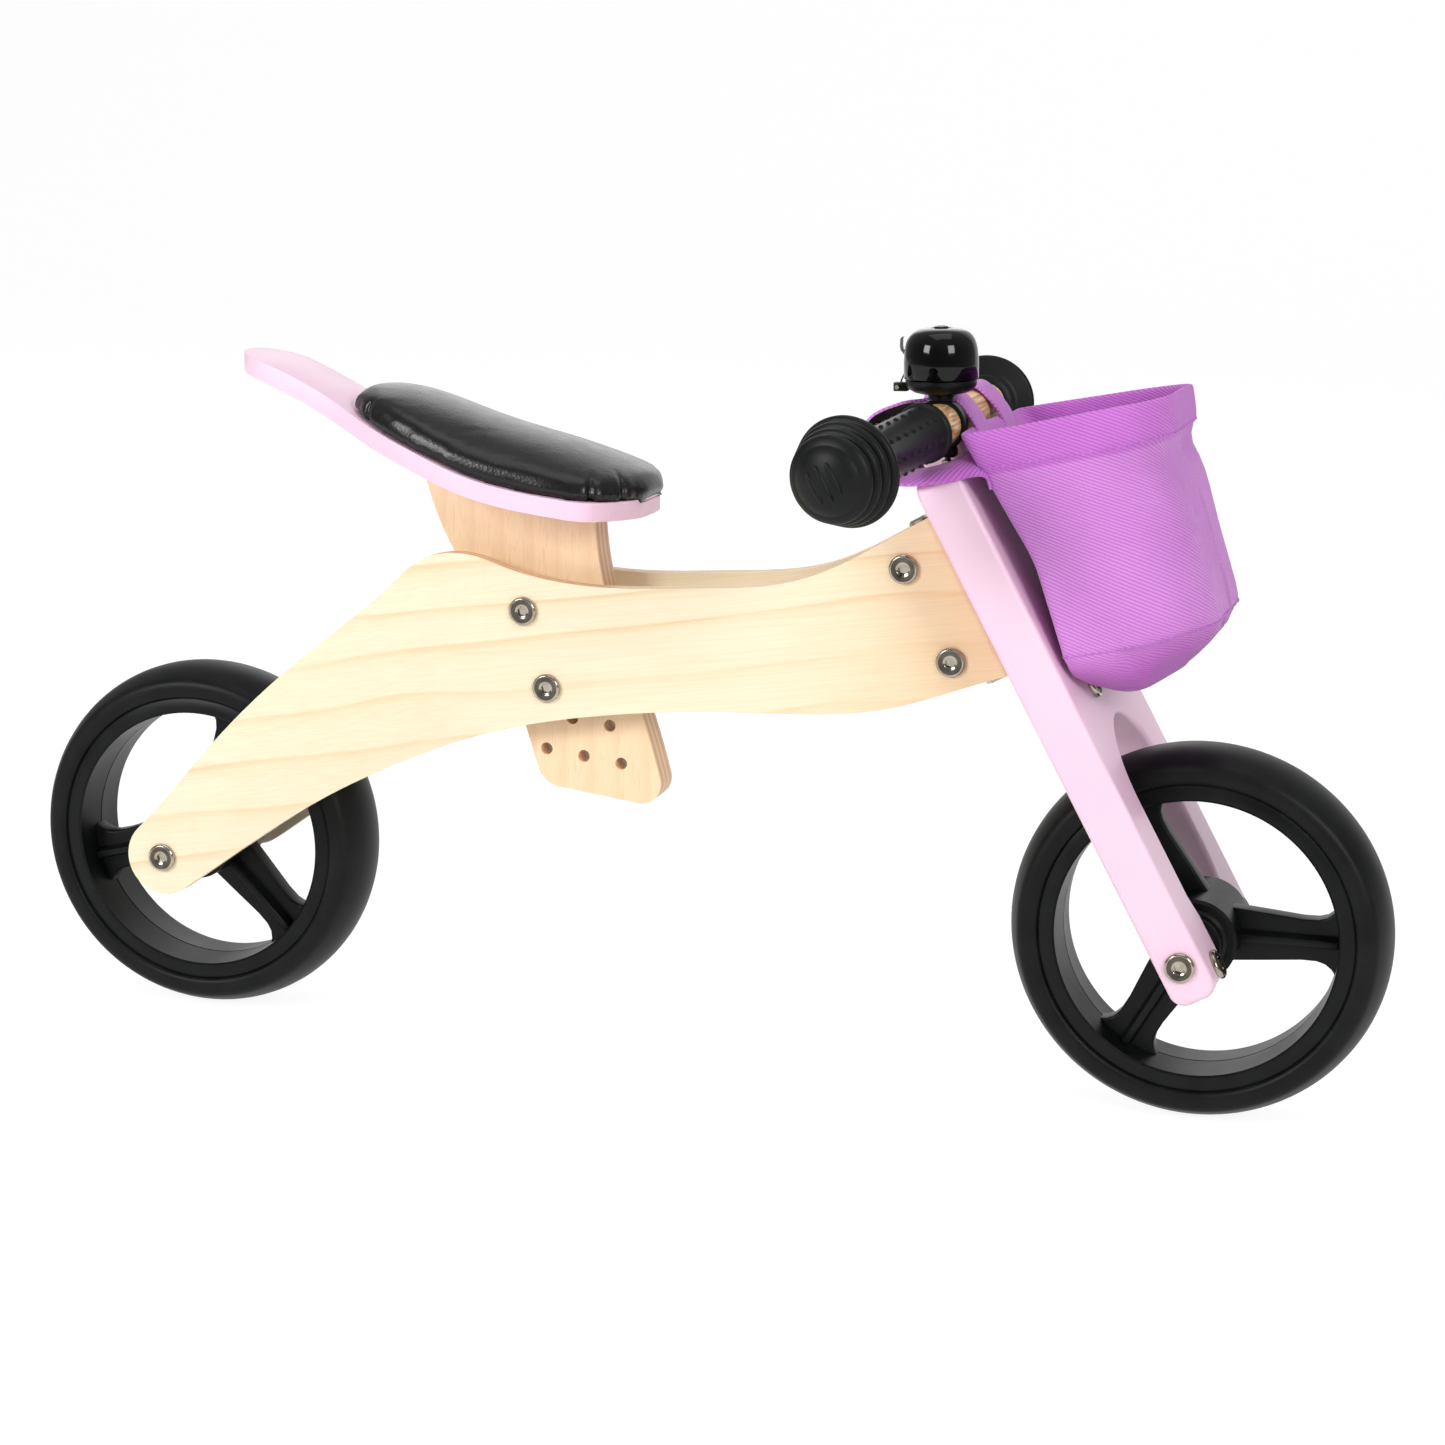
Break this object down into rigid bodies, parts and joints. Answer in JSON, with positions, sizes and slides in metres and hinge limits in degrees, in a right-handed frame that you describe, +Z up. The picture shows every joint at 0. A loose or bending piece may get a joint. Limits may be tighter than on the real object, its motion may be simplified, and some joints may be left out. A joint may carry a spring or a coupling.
{
  "type": "balance bike",
  "caption": "Toddler's wooden balance bike: bent plywood side panels, pink fork and seat board, padded seat, swept bar with grips and bell, front bag and moulded spoked wheels.",
  "frame": {"origin": "on the floor, midway between the two axles, on the middle plane", "axes": "+X forward, +Y to the rider's left, +Z up"},
  "size_m": [0.6926, 0.3324, 0.3721],
  "materials": {
    "birch_plywood": "clear satin lacquer",
    "beech": "clear satin lacquer",
    "pink_paint": "satin paint",
    "black_leather": "semi-gloss",
    "zinc_steel": "nickel plated",
    "bracket_steel": "black zinc",
    "black_nylon": "moulded",
    "tyre_rubber": "satin foam",
    "black_plastic": "moulded satin",
    "grip_rubber": "matt",
    "bell_black": "gloss",
    "purple_twill": "twill weave"
  },
  "bodies": {
    "frame": {"side_panel_right": "birch_plywood", "side_panel_left": "birch_plywood", "head_block": "beech", "head_block_bolts": "zinc_steel", "steering_bushes": "black_nylon", "seat_post": "beech", "seat_post_spacers": "black_nylon", "seat_post_bolts": "zinc_steel", "seat_board": "pink_paint", "seat_board_screws": "zinc_steel", "seat_pad": "black_leather", "rear_axle": "zinc_steel", "rear_axle_bolts": "zinc_steel", "rear_axle_spacers": "black_nylon"},
    "fork_assembly": {"fork": "pink_paint", "bracket_upper": "bracket_steel", "bracket_lower": "bracket_steel", "bracket_bolts": "zinc_steel", "steering_pin": "zinc_steel", "steering_nut": "zinc_steel", "handlebar": "beech", "handlebar_dowels": "beech", "grip_right": "grip_rubber", "grip_left": "grip_rubber", "bell_clamp": "black_plastic", "bell_clamp_screw": "zinc_steel", "bell_bowl": "bell_black", "bell_dome": "bell_black", "bell_dome_screw": "bell_black", "striker_pin": "zinc_steel", "bag": "purple_twill", "bag_strap_right": "purple_twill", "bag_strap_left": "purple_twill", "front_axle": "zinc_steel", "front_axle_bolts": "zinc_steel", "leg_bolts": "zinc_steel"},
    "front_wheel": {"front_tyre": "tyre_rubber", "front_rim": "black_plastic", "front_bushes": "black_nylon"},
    "rear_wheel": {"rear_tyre": "tyre_rubber", "rear_rim": "black_plastic", "rear_bushes": "black_nylon"},
    "striker": {"bell_striker": "bell_black"}
  },
  "joints": [
    {"name": "steering", "type": "hinge", "parent": "frame", "child": "fork_assembly", "pos_m": [0.13645, 0, 0.24168], "axis": [-0.4909, 0, 0.8712], "range_deg": [-18, 18]},
    {"name": "front_wheel_spin", "type": "hinge", "parent": "fork_assembly", "child": "front_wheel", "pos_m": [0.25635, 0, 0.09], "axis": [0, 1, 0], "continuous": true},
    {"name": "rear_wheel_spin", "type": "hinge", "parent": "frame", "child": "rear_wheel", "pos_m": [-0.25635, 0, 0.09], "axis": [0, 1, 0], "continuous": true},
    {"name": "bell_striker_swing", "type": "hinge", "parent": "fork_assembly", "child": "striker", "pos_m": [0.11197, -0.041, 0.34284], "axis": [0, -1, 0], "range_deg": [0, 14], "stiffness_Nm_per_rad": 0.02}
  ]
}
